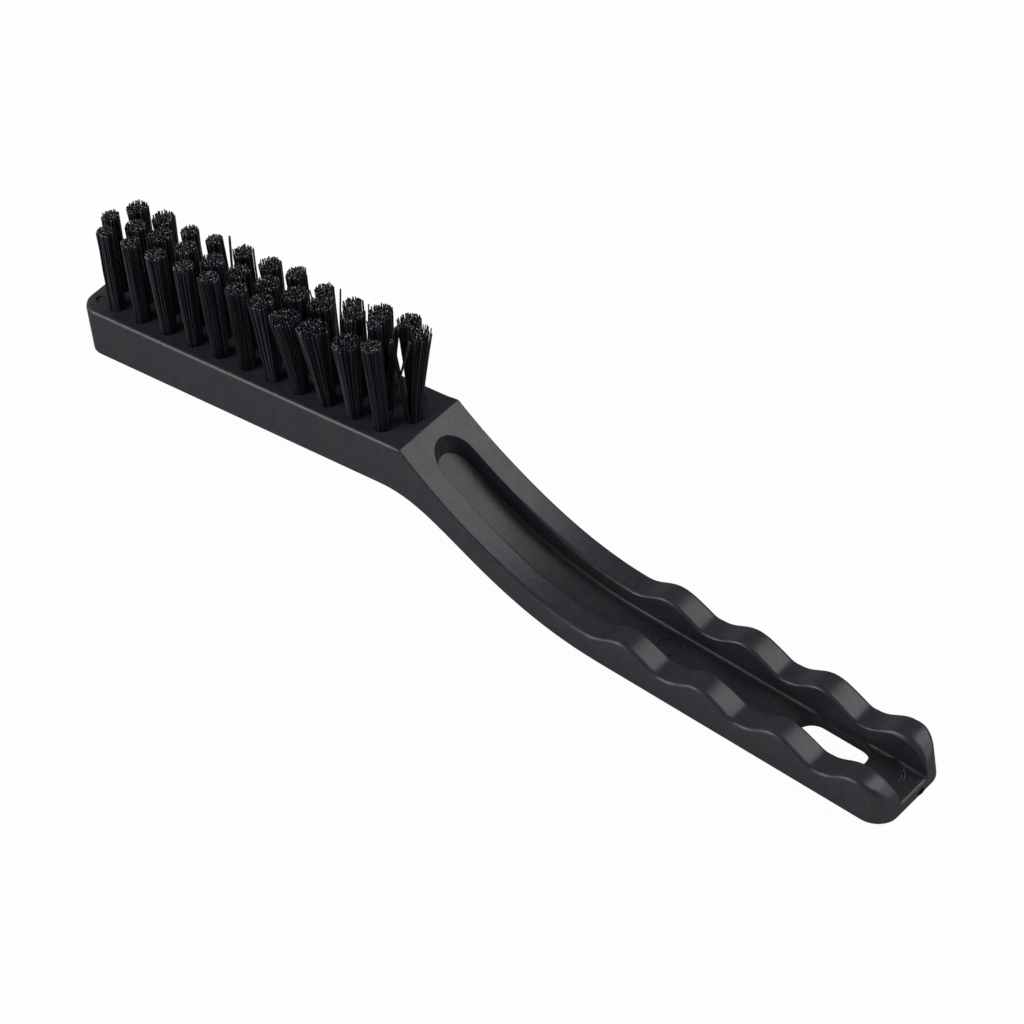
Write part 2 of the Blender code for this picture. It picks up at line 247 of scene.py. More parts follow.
def wall_top(x):
    return CHANNEL_FLOOR_WIDTH / 2 + channel_slope * (face_z(x) - floor_z(x))


rim_centre_x = CHANNEL_START_X + wall_top(CHANNEL_START_X)


def rim_half_width(x):
    """Half the channel's width at the face, on the round of its closed end or beyond it."""
    return math.sqrt(wall_top(x) ** 2 - max(rim_centre_x - x, 0.0) ** 2)


def softened(x):
    """How far the neck's crisp edges have softened into the grip's, as a share."""
    return ease((x - EDGES_SOFTEN_X) / EDGES_SOFTEN_RUN)


def beside_slot(x):
    """1 beside the hanging slot, where the mould leaves the floor's corner square."""
    past_start = x - (tail_x - SLOT_TO_TAIL - SLOT_LENGTH + SLOT_PAD_INSET)
    before_end = tail_x - SLOT_TO_TAIL - SLOT_PAD_INSET / 2 - x
    return ease(past_start / SLOT_PAD_RUN) * ease(before_end / SLOT_PAD_RUN)


def rounded(corners):
    """Points of an outline whose corners, given as (point, radius, steps), are rounded."""
    points = []
    for index, (corner, radius, steps) in enumerate(corners):
        corner = Vector(corner)
        if not radius:
            points.append(tuple(corner))
            continue
        back = (Vector(corners[index - 1][0]) - corner).normalized()
        ahead = (Vector(corners[index + 1][0]) - corner).normalized()
        half_angle = back.angle(ahead) / 2
        middle = corner + (back + ahead).normalized() * radius / math.sin(half_angle)
        first = corner + back * radius / math.tan(half_angle) - middle
        last = corner + ahead * radius / math.tan(half_angle) - middle
        sweep = first.angle(last)
        for step in range(steps + 1):
            turn = sweep * step / steps
            spread = math.sin(sweep - turn) / math.sin(sweep), math.sin(turn) / math.sin(sweep)
            points.append(tuple(middle + first * spread[0] + last * spread[1]))
    return points


# Steps of the handle's fine mesh round a section and along the handle
FLOOR_STEPS, TOP_STEPS, SIDE_STEPS, BACK_STEPS = 4, 6, 3, 4
FILLET_STEPS, RIM_STEPS, EDGE_STEPS, SHARP_STEPS = 5, 6, 7, 5
NECK_STEPS, HALF_WAVE_STEPS, ROLL_STEPS, END_ROUND_STEPS = 34, 12, 18, 4
CREASE_STEPS, SETBACK_STEPS, BLOCK_STEPS, CORNER_STEPS = 5, 3, 20, 10
FAN_RAYS = 28
EDGE_TRIES = 12
END_ROUND = 0.0005
# Points that agree to this many decimals share a vertex
SHARED_DIGITS = 7


def side_points(x, inset=0.0):
    """The handle's right side at x, from the face's edge round to the back's centre."""
    back, face = back_z(x) + inset, face_z(x) - inset
    half = back_half_width(x) - inset
    top_half = half - side_slope * (face - back)
    high = between(SHARP_EDGE_RADIUS, GRIP_EDGE_RADIUS, softened(x))
    high += (BLOCK_EDGE_RADIUS - SHARP_EDGE_RADIUS) * ease(-x / BLOCK_EDGE_RUN)
    if x > CHANNEL_START_X + CHANNEL_FLOOR_WIDTH:
        high = min(high, (top_half - rim_half_width(x)) / 2)
    outline = rounded((
        ((0.0, face), 0.0, 0), ((top_half, face), high, EDGE_STEPS),
        ((half, back), SHARP_EDGE_RADIUS, SHARP_STEPS), ((0.0, back), 0.0, 0)))[1:]
    edge, low = outline[:EDGE_STEPS + 1], outline[EDGE_STEPS + 1:-1]
    side = [tuple(Vector(edge[-1]).lerp(Vector(low[0]), step / SIDE_STEPS)) for step in range(1, SIDE_STEPS)]
    under = [(low[-1][0] * (1 - step / BACK_STEPS), back) for step in range(1, BACK_STEPS + 1)]
    return edge + side + low + under


def channel_points(x, inset=0.0):
    """The channel's right half at x, from its floor's centre up the wall and over the rim."""
    floor, face = floor_z(x) - inset, face_z(x) - inset
    rim_radius = between(NECK_RIM_RADIUS, GRIP_RIM_RADIUS, softened(x))
    rim_radius = between(rim_radius, TAIL_RIM_RADIUS, ease((x - last_crest_x) / TAIL_ROLL + 1))
    rail_width = side_points(x, inset)[0][0] - rim_half_width(x)
    rim_radius = min(rim_radius, rail_width / 2, (face - floor) / 2)
    fillet = between(CHANNEL_END_FILLET, CHANNEL_FILLET, softened(x) * (1 - beside_slot(x)))
    fillet = min(fillet, (face - floor) / 3)
    outline = rounded((
        ((0.0, floor), 0.0, 0), ((floor_half_width(x), floor), fillet, FILLET_STEPS),
        ((rim_half_width(x), face), rim_radius, RIM_STEPS), ((back_half_width(x), face), 0.0, 0)))[:-1]
    floor_row = [(outline[1][0] * step / FLOOR_STEPS, floor) for step in range(FLOOR_STEPS)]
    return floor_row + outline[1:]


def fan_points(centre_x, turn, edge_x, edge_y):
    """One ray of the channel's round closed end, from its floor's centre to the face's edge."""
    direction = Vector((math.cos(turn), math.sin(turn)))
    ahead = rim_centre_x - centre_x
    floor_radius, rim = floor_half_width(centre_x), wall_top(centre_x)
    rim_radius = ahead * direction.x + math.sqrt(rim ** 2 - (ahead * direction.y) ** 2)
    reach = (Vector((edge_x, edge_y)) - Vector((centre_x, 0.0))).length

    def at(radius, height):
        x = centre_x + radius * direction.x
        return (radius, height(x))

    outline = rounded((
        (at(floor_radius * 2 / 3, floor_z), 0.0, 0),
        (at(floor_radius, floor_z), CHANNEL_END_FILLET, FILLET_STEPS),
        (at(rim_radius, face_z), NECK_RIM_RADIUS, RIM_STEPS),
        (at(between(rim_radius, reach, 0.5), face_z), 0.0, 0)))[1:-1]
    floor_row = [at(outline[0][0] * step / FLOOR_STEPS, floor_z) for step in range(FLOOR_STEPS)]
    over = [at(between(outline[-1][0], reach, step / TOP_STEPS), face_z) for step in range(1, TOP_STEPS)]
    plan = floor_row + outline + over
    return [(centre_x + radius * direction.x, radius * direction.y, z) for radius, z in plan]


def channel_ring(x, inset=0.0):
    """The right half of a whole section through the channel, from floor centre to back centre."""
    inside, outside = channel_points(x, inset), side_points(x, inset)
    rim, edge = Vector(inside[-1]), Vector(outside[0])
    top = [tuple(rim.lerp(edge, step / TOP_STEPS)) for step in range(1, TOP_STEPS)]
    return [(x, y, z) for y, z in inside + top + outside]


def link(name, mesh):
    """Turn a bmesh into an object with its faces pointing out."""
    bmesh.ops.recalc_face_normals(mesh, faces=mesh.faces)
    data = bpy.data.meshes.new(name)
    mesh.to_mesh(data)
    mesh.free()
    item = bpy.data.objects.new(name, data)
    bpy.context.scene.collection.objects.link(item)
    return item


def strip(mesh, rows, following):
    """Faces between two rows of points; a shared point makes a triangle."""
    for low, high, low_next, high_next in zip(rows, rows[1:], following, following[1:]):
        corners = []
        for vertex in (low, high, high_next, low_next):
            if vertex not in corners:
                corners.append(vertex)
        if len(corners) > 2:
            mesh.faces.new(corners)


def channel_stations(centre_x):
    """Where the rings stand from the channel's round end to the tail."""
    stations = [centre_x] + steps_between(centre_x, FIRST_VALLEY_X, NECK_STEPS)
    stations += steps_between(FIRST_VALLEY_X, last_crest_x, (FINGER_CRESTS * 2 - 1) * HALF_WAVE_STEPS)
    stations += [last_crest_x + TAIL_ROLL * sine for sine in quarter_sines(ROLL_STEPS)[1:-1]]
    stations = [x for x in stations if x < tail_x - END_ROUND]
    return stations + [tail_x - END_ROUND * (1 - sine) for sine in quarter_sines(END_ROUND_STEPS)]


def block_stations():
    """Where the rings stand from the crease to the block's tip."""
    inner_tip = block_tip_x + TIP_CORNER_RADIUS
    stations = [crease_end_x] + steps_between(crease_end_x, -crease_reach, CREASE_STEPS)
    stations += steps_between(-crease_reach, -NECK_BACK_SETBACK, SETBACK_STEPS)
    stations += steps_between(-NECK_BACK_SETBACK, inner_tip, BLOCK_STEPS)
    stations += [inner_tip - TIP_CORNER_RADIUS * sine for sine in quarter_sines(CORNER_STEPS)[1:-1]]
    stations = [x for x in stations if x > block_tip_x + END_ROUND]
    return stations + [block_tip_x + END_ROUND * (1 - sine) for sine in quarter_sines(END_ROUND_STEPS)]


def handle_shell():
    """The handle before its holes: block, round channel end, open channel and tail."""
    mesh = bmesh.new()
    made = {}

    def vertex(x, y, z, side):
        key = tuple(round(value, SHARED_DIGITS) for value in (x, y * side, z))
        if key not in made:
            made[key] = mesh.verts.new((x, y * side, z))
        return made[key]

    centre_x = CHANNEL_START_X + floor_half_width(CHANNEL_START_X)
    corner_y = side_points(crease_end_x)[0][0]
    corner_turn = math.atan2(corner_y, crease_end_x - centre_x)
    side_rays = round(FAN_RAYS * (corner_turn - math.pi / 2) / (math.pi / 2))
    turns = [between(math.pi / 2, corner_turn, ray / side_rays) for ray in range(side_rays + 1)]
    crease_rays = FAN_RAYS - side_rays
    turns += [between(corner_turn, math.pi, ray / crease_rays) for ray in range(1, crease_rays + 1)]

    for side in (1, -1):
        # The channel's rings
        rings = []
        for x in channel_stations(centre_x):
            inset = corner_inset(tail_x - x, END_ROUND)
            rings.append([vertex(*point, side) for point in channel_ring(x, inset)])
        for ring, following in zip(rings, rings[1:]):
            strip(mesh, ring, following)
        mesh.faces.new(rings[-1])

        # The fan of rays round the channel's closed end, and the neck's side beside it
        rays, neck_sides = [], []
        for index, turn in enumerate(turns):
            if index <= side_rays:
                edge_x = centre_x
                for _ in range(EDGE_TRIES):
                    edge_x = centre_x + side_points(edge_x)[0][0] / math.tan(turn)
                edge_y = side_points(edge_x)[0][0]
                neck_sides.append([vertex(edge_x, y, z, side) for y, z in side_points(edge_x)])
                outer = neck_sides[-1][0]
            else:
                edge_x, edge_y = crease_end_x, (crease_end_x - centre_x) * math.tan(turn)
                outer = vertex(edge_x, max(edge_y, 0.0), face_z(edge_x), side)
            row = [vertex(*point, side) for point in fan_points(centre_x, turn, edge_x, max(edge_y, 0.0))]
            rays.append(row + [outer])
        fan_start = len(rays[0])
        rays[0] = rings[0][:fan_start]
        neck_sides[0] = rings[0][fan_start - 1:]
        for ray, following in zip(rays, rays[1:]):
            strip(mesh, ray, following)
        for column, following in zip(neck_sides, neck_sides[1:]):
            strip(mesh, column, following)

        # The block's rings, whose tops share the places of the rays' ends on the crease
        crease_ys = [abs(row[-1].co.y) / corner_y for row in rays[side_rays:]]
        block_rings = []
        for x in block_stations():
            inset = corner_inset(x - block_tip_x, END_ROUND)
            column = side_points(x, inset)
            top = [vertex(x, share * column[0][0], face_z(x) - inset, side) for share in reversed(crease_ys)]
            block_rings.append(top[:-1] + [vertex(x, y, z, side) for y, z in column])
        crease_row = [row[-1] for row in reversed(rays[side_rays:])]
        block_rings[0] = crease_row[:-1] + neck_sides[-1]
        for ring, following in zip(block_rings, block_rings[1:]):
            strip(mesh, ring, following)
        mesh.faces.new(block_rings[-1])
    return link('handle_moulding', mesh)


handle = handle_shell()

# The core pins of the mould leave the blind bristle holes and the hanging slot, whose rims
# are a little soft, and its ejector pins leave shallow round marks on the moulding.
SLOT_RIM_RADIUS = 0.0001
TUFT_PITCH = 0.0070
ROW_SPACING = 0.0050
LAST_TUFT_TO_CREASE = 0.0038
LEAST_TUFT_TO_TIP = 0.0036
HOLE_DIAMETER = 0.0033
HOLE_DEPTH = 0.0070
HOLE_RIM_RADIUS = 0.00018
HOLE_SIDES = 32
SLOT_SIDES = 40
RIM_DEGREES = (20, 42, 66, 90)
CUT_OVERRUN = 0.0010
GRIP_MARK_X = 0.0548
GRIP_MARK_RADIUS = 0.0023
GRIP_MARK_LINE = 0.00020
GRIP_MARK_DEPTH = 0.00014
TAIL_MARK_X = 0.1049
TAIL_MARK_RADIUS = 0.00404
TAIL_MARK_DEPTH = 0.00010
TIP_MARK_X = -0.0820
TIP_MARK_Y = -0.0050
TIP_MARK_RADIUS = 0.00110
TIP_MARK_DEPTH = 0.00033


def flare(radius):
    """Offset and height of a cutter's rings that leave a rounded rim on a flat face."""
    turns = [math.radians(degrees) for degrees in RIM_DEGREES]
    arc = [(radius - radius * math.sin(turn), radius - radius * math.cos(turn)) for turn in turns]
    out = (arc[0][0] + CUT_OVERRUN * math.cos(turns[0]), arc[0][1] - CUT_OVERRUN * math.sin(turns[0]))
    return [out] + arc


def add_tube(mesh, rings, capped=True):
    """Closed wall through equal rings of points, with a cap on each end."""
    made = [[mesh.verts.new(point) for point in ring] for ring in rings]
    for ring, following in zip(made, made[1:]):
        for index in range(len(ring)):
            beside = (index + 1) % len(ring)
            mesh.faces.new((ring[index], ring[beside], following[beside], following[index]))
    if capped:
        mesh.faces.new(made[0])
        mesh.faces.new(made[-1])
    return made


def round_ring(x, y, radius, height, sides):
    """A circle in plan, whose height may follow a face."""
    turns = [2 * math.pi * side / sides for side in range(sides)]
    points = [(x + radius * math.cos(turn), y + radius * math.sin(turn)) for turn in turns]
    return [(px, py, height(px)) for px, py in points]


def above_floor(rise):
    """A height that follows the channel's floor."""
    return lambda x: floor_z(x) + rise


def slot_ring(offset, height):
    """The slot's outline in plan, drawn out by an offset."""
    end_x = tail_x - SLOT_TO_TAIL - SLOT_WIDTH / 2
    start_x = tail_x - SLOT_TO_TAIL - SLOT_LENGTH + SLOT_WIDTH / 2
    radius = SLOT_WIDTH / 2 + offset
    ring = []
    for centre, first in ((end_x, -math.pi / 2), (start_x, math.pi / 2)):
        for step in range(SLOT_SIDES // 2 + 1):
            turn = first + 2 * math.pi * step / SLOT_SIDES
            x = centre + radius * math.cos(turn)
            ring.append((x, radius * math.sin(turn), height(x)))
    return ring


def cut(item, cutter):
    """Cut one closed mesh out of an item."""
    step = item.modifiers.new('cut', 'BOOLEAN')
    step.operation = 'DIFFERENCE'
    step.solver = 'EXACT'
    step.object = cutter
    graph = bpy.context.evaluated_depsgraph_get()
    plain = item.data
    item.data = bpy.data.meshes.new_from_object(item.evaluated_get(graph))
    item.modifiers.clear()
    bpy.data.meshes.remove(plain)
    bpy.data.objects.remove(cutter, do_unlink=True)


def tuft_feet():
    """Row, number and foot of every tuft: the outer rows sit half a pitch off the middle one."""
    gaps = int((BLOCK_LENGTH - LAST_TUFT_TO_CREASE - LEAST_TUFT_TO_TIP) / TUFT_PITCH)
    first_x = -LAST_TUFT_TO_CREASE - gaps * TUFT_PITCH
    rows = (('front', first_x + TUFT_PITCH / 2, -ROW_SPACING, gaps), ('middle', first_x, 0.0, gaps + 1),
            ('rear', first_x + TUFT_PITCH / 2, ROW_SPACING, gaps))
    return [(row, index, start + index * TUFT_PITCH, y)
            for row, start, y, count in rows for index in range(count)]


cutters = bmesh.new()
rims = flare(HOLE_RIM_RADIUS)
for _, _, foot_x, foot_y in tuft_feet():
    hole = [round_ring(foot_x, foot_y, HOLE_DIAMETER / 2 + out, lambda x: -down, HOLE_SIDES)
            for out, down in rims]
    bottom = round_ring(foot_x, foot_y, HOLE_DIAMETER / 2, lambda x: -HOLE_DEPTH, HOLE_SIDES)
    add_tube(cutters, hole + [bottom])
cut(handle, link('hole_cutters', cutters))

cutters = bmesh.new()
rims = flare(SLOT_RIM_RADIUS)
upper = [slot_ring(out, above_floor(-down)) for out, down in rims]
lower = [slot_ring(out, lambda x: back_z(x) + up) for out, up in reversed(rims)]
add_tube(cutters, upper + lower)
cut(handle, link('slot_cutter', cutters))

cutters = bmesh.new()
mark_low, mark_high = above_floor(-GRIP_MARK_DEPTH), above_floor(CUT_OVERRUN)
inner = GRIP_MARK_RADIUS - GRIP_MARK_LINE
groove = [round_ring(GRIP_MARK_X, 0.0, radius, height, HOLE_SIDES * 2) for radius, height in (
    (inner, mark_low), (GRIP_MARK_RADIUS, mark_low), (GRIP_MARK_RADIUS, mark_high), (inner, mark_high),
    (inner, mark_low))]
add_tube(cutters, groove, capped=False)
bmesh.ops.remove_doubles(cutters, verts=cutters.verts, dist=SHARP_EDGE_RADIUS / 1000)
add_tube(cutters, [round_ring(TAIL_MARK_X, 0.0, TAIL_MARK_RADIUS, height, HOLE_SIDES * 2)
                   for height in (above_floor(-TAIL_MARK_DEPTH), mark_high)])
add_tube(cutters, [round_ring(TIP_MARK_X, TIP_MARK_Y, TIP_MARK_RADIUS, height, HOLE_SIDES)
                   for height in (lambda x: -TIP_MARK_DEPTH, lambda x: CUT_OVERRUN)])
cut(handle, link('mark_cutters', cutters))

# The brush rests on its back: it is tipped onto its block's tip and its knee, and set
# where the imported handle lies.
REST_STEPS = 900
tip_z = back_z(block_tip_x)
lean = max(math.atan2(tip_z - back_z(x), x - block_tip_x) for x in steps_between(0.0, tail_x, REST_STEPS))
lay = Matrix.Rotation(-lean, 4, 'Y')
handle.data.transform(lay)
handle_low, handle_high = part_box('handle')
laid_low = [min(vertex.co[axis] for vertex in handle.data.vertices) for axis in range(3)]
laid_high = [max(vertex.co[axis] for vertex in handle.data.vertices) for axis in range(3)]
shift = Vector((
    (handle_low.x + handle_high.x - laid_low[0] - laid_high[0]) / 2, 0.0, handle_low.z - laid_low[2]))
handle.data.transform(Matrix.Translation(shift))
lay = Matrix.Translation(shift) @ lay

# Brownish dust has settled on the floor of the channel's deep end. The block's tip gets the same
# brown as a painted highlight: its top is lighter there, where no bristles block its reflection.
DUST_END_X = 0.0300
DUST_RUN = 0.0150
DUST_REACH = 0.0002
WALL_FACING = 0.4
LEVEL_FACING = 0.9
TIP_PAINTED_HIGHLIGHT_RUN = 0.0060
TIP_PAINTED_HIGHLIGHT_SHARE = 1.8
to_brush = lay.inverted()
dust_and_painted_highlight = handle.data.attributes.new('dust_and_painted_highlight', 'FLOAT', 'CORNER')
for face in handle.data.polygons:
    facing = to_brush.to_3x3() @ face.normal
    for corner in face.loop_indices:
        x, y, z = to_brush @ handle.data.vertices[handle.data.loops[corner].vertex_index].co
        amount = 0.0
        if abs(facing.y) < WALL_FACING and x > CHANNEL_START_X and abs(z - floor_z(x)) < DUST_REACH:
            amount = ease((DUST_END_X - x) / DUST_RUN)
        # Painted highlight: the tip's top is painted lighter, where no bristles block its reflection
        elif facing.z > LEVEL_FACING and x < 0:
            amount = TIP_PAINTED_HIGHLIGHT_SHARE * ease((block_tip_x + TIP_PAINTED_HIGHLIGHT_RUN - x) / TIP_PAINTED_HIGHLIGHT_RUN)
        dust_and_painted_highlight.data[corner].value = amount

SMOOTH_DEGREES = 28
handle.data.shade_smooth()
handle.data.set_sharp_from_angle(angle=math.radians(SMOOTH_DEGREES))
weighted = handle.modifiers.new('even_shading', 'WEIGHTED_NORMAL')
weighted.keep_sharp = True


def new_finish(name, roughness, specular):
    """A material with a Principled shader, and that shader."""
    finish = bpy.data.materials.new(name)
    finish.use_nodes = True
    shader = finish.node_tree.nodes['Principled BSDF']
    shader.inputs['Roughness'].default_value = roughness
    shader.inputs['Specular IOR Level'].default_value = specular
    return finish, shader


def add_node(finish, kind, links=(), **settings):
    """Add a shader node, set its fields or sockets, and link its inputs."""
    node = finish.node_tree.nodes.new(kind)
    for field, value in settings.items():
        if hasattr(node, field):
            setattr(node, field, value)
        else:
            node.inputs[field.replace('_', ' ')].default_value = value
    for socket, source in links:
        finish.node_tree.links.new(source, node.inputs[socket])
    return node


def add_ramp(finish, source, stops):
    """A colour ramp through stops of (place, colour)."""
    ramp = add_node(finish, 'ShaderNodeValToRGB', [('Fac', source)])
    elements = ramp.color_ramp.elements
    while len(elements) < len(stops):
        elements.new(0.5)
    for element, (place, colour) in zip(elements, stops):
        element.position = place
        element.color = (*colour, 1.0)
    return ramp.outputs['Color']


def add_noise(finish, scale, detail=2.0):
    """Noise that is fixed to the piece."""
    place = add_node(finish, 'ShaderNodeTexCoord').outputs['Object']
    noise = add_node(finish, 'ShaderNodeTexNoise', [('Vector', place)], Scale=scale, Detail=detail)
    return noise.outputs['Fac']


def add_range(finish, source, start, end, low, high):
    """A value that runs from low to high while its source runs from start to end."""
    mapped = add_node(finish, 'ShaderNodeMapRange', [('Value', source)],
                      From_Min=start, From_Max=end, To_Min=low, To_Max=high)
    return mapped.outputs['Result']


def add_math(finish, operation, *terms):
    """One operation on sockets or plain numbers."""
    node = add_node(finish, 'ShaderNodeMath', operation=operation)
    for socket, term in zip(node.inputs, terms):
        if isinstance(term, float):
            socket.default_value = term
        else:
            finish.node_tree.links.new(term, socket)
    return node.outputs['Value']


def add_mix(finish, share, under, over):
    """One colour laid over another, either of them a socket or a plain colour."""
    mix = add_node(finish, 'ShaderNodeMix', data_type='RGBA')
    share_socket, under_socket, over_socket = mix.inputs[0], mix.inputs[6], mix.inputs[7]
    finish.node_tree.links.new(share, share_socket)
    for socket, colour in ((under_socket, under), (over_socket, over)):
        if isinstance(colour, tuple):
            socket.default_value = (*colour, 1.0)
        else:
            finish.node_tree.links.new(colour, socket)
    return mix.outputs[2]


COOL_PLASTIC = ((0.30, (0.0122, 0.0116, 0.0162)), (0.70, (0.0160, 0.0153, 0.0206)))
WARM_PLASTIC = ((0.30, (0.0138, 0.0124, 0.0146)), (0.70, (0.0184, 0.0166, 0.0186)))
WHITE_SPECK = (0.22, 0.22, 0.22)
BROWN_DUST_AND_PAINTED_HIGHLIGHT = (0.041, 0.035, 0.034)
MOTTLE_SCALE, FLOW_SCALE, GRAIN_SCALE, SPECK_SCALE = 700.0, 130.0, 2600.0, 210.0
SPECK_SIZE = 0.016
SPARK_TEXTURE, SPARK_DEPTH = 0.30, 0.00006
# Ranges of a source, and what they become: start, end, low, high
WARM_BY_FLOW = (0.45, 0.65, 0.0, 1.0)
ROUGHNESS_BY_FLOW = (0.0, 1.0, 0.30, 0.42)
SHEEN_BY_ANGLE = (0.30, 0.65, 0.22, 0.02)
SHEEN_BY_MOTTLE = (0.35, 0.65, 0.95, 1.05)
SHEEN_BY_DUST_AND_HIGHLIGHT = (0.0, 1.0, 1.0, 0.4)

black_plastic, shader = new_finish('moulded_black_plastic', roughness=0.34, specular=0.20)
tree = black_plastic.node_tree
mottle = add_noise(black_plastic, MOTTLE_SCALE, detail=4.0)
flow = add_noise(black_plastic, FLOW_SCALE)
place = add_node(black_plastic, 'ShaderNodeTexCoord').outputs['Object']
specks = add_node(black_plastic, 'ShaderNodeTexVoronoi', [('Vector', place)], Scale=SPECK_SCALE)
speck = add_math(black_plastic, 'LESS_THAN', specks.outputs['Distance'], SPECK_SIZE)
dust_and_painted_highlight = add_node(black_plastic, 'ShaderNodeAttribute', attribute_name='dust_and_painted_highlight').outputs['Fac']
dust_and_highlight_amount = add_math(black_plastic, 'MULTIPLY', dust_and_painted_highlight, mottle)
cool, warm = add_ramp(black_plastic, mottle, COOL_PLASTIC), add_ramp(black_plastic, mottle, WARM_PLASTIC)
tinted = add_mix(black_plastic, add_range(black_plastic, flow, *WARM_BY_FLOW), cool, warm)
flecked = add_mix(black_plastic, speck, tinted, WHITE_SPECK)
# Brown dust on the channel's floor, and the same brown as a painted highlight on the block's tip
tree.links.new(add_mix(black_plastic, dust_and_highlight_amount, flecked, BROWN_DUST_AND_PAINTED_HIGHLIGHT), shader.inputs['Base Color'])
tree.links.new(add_range(black_plastic, flow, *ROUGHNESS_BY_FLOW), shader.inputs['Roughness'])

# The sheen falls off at shallow angles, varies a little and is dulled by the dust and the tip's painted
# highlight
facing = add_node(black_plastic, 'ShaderNodeLayerWeight', Blend=0.5).outputs['Facing']
sheen = add_range(black_plastic, facing, *SHEEN_BY_ANGLE)
for source, effect in ((mottle, SHEEN_BY_MOTTLE), (dust_and_highlight_amount, SHEEN_BY_DUST_AND_HIGHLIGHT)):
    sheen = add_math(black_plastic, 'MULTIPLY', sheen, add_range(black_plastic, source, *effect))
tree.links.new(sheen, shader.inputs['Specular IOR Level'])
texture = add_node(black_plastic, 'ShaderNodeBump', [('Height', add_noise(black_plastic, GRAIN_SCALE))],
                   Strength=SPARK_TEXTURE, Distance=SPARK_DEPTH)
tree.links.new(texture.outputs['Normal'], shader.inputs['Normal'])
handle.data.materials.clear()
handle.data.materials.append(black_plastic)
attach(handle, 'root')
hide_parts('handle')

# Two thin arcs of flash stand on the end mark's rim, coloured paler as a painted highlight of the
# light their edges catch, and the gate was sheared off the end face and left a rough scar, coloured near
# black. Both are of the handle's plastic.
FLASH_RADII = (0.0039, 0.0033)
FLASH_DEGREES = (5, 70)
FLASH_STEPS = 24
FLASH_HALF_WIDTH = 0.00014
FLASH_HEIGHT = 0.00013
FLASH_SECTION = ((-1, -1), (1, -1), (0.2, 0.8), (-0.3, 1), (-0.8, 0.4))
FLASH_END_SHARE = 0.1
# The arcs' pale colour is a painted highlight
PAINTED_HIGHLIGHT_COLOURS = ((0.35, (0.030, 0.030, 0.034)), (0.65, (0.110, 0.110, 0.120)))
HIGHLIGHT_MOTTLE_SCALE = 1800.0
GATE_Y = 0.0019
GATE_HALF_WIDTH = 0.0012
GATE_HALF_HEIGHT = 0.00075
GATE_UP = 0.00085
GATE_PROUD = 0.0001
GATE_SIDES = 14
# Size and height of the scar's rings, from inside the handle to its rough middle
GATE_RINGS = ((1.0, -3.0), (1.0, 0.0), (0.6, 0.4), (0.2, 0.8))
GATE_SIZE_CHANCE, GATE_HEIGHT_CHANCE = (0.8, 1.1), (0.7, 1.1)
GATE_SEED = 5
# The scar is coloured near black
NEAR_BLACK_SCAR_COLOURS = ((0.35, (0.0005, 0.0005, 0.0005)), (0.75, (0.0040, 0.0040, 0.0044)))
SCAR_MOTTLE_SCALE = 2600.0


def mottled_finish(name, scale, colours, roughness, specular, metallic=0.0):
    """A material whose colour wanders between two."""
    finish, shader = new_finish(name, roughness, specular)
    colour = add_ramp(finish, add_noise(finish, scale), colours)
    finish.node_tree.links.new(colour, shader.inputs['Base Color'])
    shader.inputs['Metallic'].default_value = metallic
    return finish


flash = bmesh.new()
for radius in FLASH_RADII:
    rings = []
    for step in range(FLASH_STEPS + 1):
        turn = math.radians(between(*FLASH_DEGREES, step / FLASH_STEPS))
        taper = between(FLASH_END_SHARE, 1.0, math.sin(math.pi * step / FLASH_STEPS))
        ring = []
        for across, up in FLASH_SECTION:
            reach = radius + across * FLASH_HALF_WIDTH * taper
            x, y = TAIL_MARK_X + reach * math.cos(turn), reach * math.sin(turn)
            ring.append((x, y, floor_z(x) - TAIL_MARK_DEPTH + up * FLASH_HEIGHT * taper))
        rings.append(ring)
    add_tube(flash, rings)
flash_arcs = link('flash_arcs', flash)
flash_arcs.data.materials.append(mottled_finish(
    'black_plastic_painted_highlight', HIGHLIGHT_MOTTLE_SCALE, PAINTED_HIGHLIGHT_COLOURS, roughness=0.40, specular=0.30))

scar = bmesh.new()
scar_chance = random.Random(GATE_SEED)
scar_rings = []
for share, proud in GATE_RINGS:
    ring = []
    for side in range(GATE_SIDES):
        turn = 2 * math.pi * side / GATE_SIDES
        rough = share * scar_chance.uniform(*GATE_SIZE_CHANCE)
        ring.append((
            tail_x + proud * GATE_PROUD * scar_chance.uniform(*GATE_HEIGHT_CHANCE),
            GATE_Y + GATE_HALF_WIDTH * rough * math.cos(turn),
            back_z(tail_x) + GATE_UP + GATE_HALF_HEIGHT * rough * math.sin(turn)))
    scar_rings.append(ring)
add_tube(scar, scar_rings)
gate_scar = link('gate_scar', scar)
gate_scar.data.materials.append(mottled_finish(
    'near_black_scar_plastic', SCAR_MOTTLE_SCALE, NEAR_BLACK_SCAR_COLOURS, roughness=0.70, specular=0.03))
for mark in (flash_arcs, gate_scar):
    mark.data.transform(lay)
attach(gate_scar, 'root')
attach(flash_arcs, 'root')

# Each tuft is a bundle of black nylon filaments folded in half over a flat steel wire,
# which a stapling machine drives into the hole's bottom. It is trimmed flat after that,
# and its cut ends are paler than its sides; their brightest flecks are a painted glint.
BRISTLE_LENGTH = 0.0195
FILAMENT_DIAMETER = 0.00028
FILAMENT_PITCH = 0.000298
FILAMENT_RINGS = 5
RING_GROWTH = 6
FILAMENT_SIDES = 6
TRIM_SCATTER = 0.0002
TUFT_SCATTER = 0.0002
ANCHOR_THICKNESS = 0.0004
ANCHOR_HEIGHT = 0.0015
ANCHOR_WIDTH = 0.0024
TUFT_CLEARANCE = 0.0003
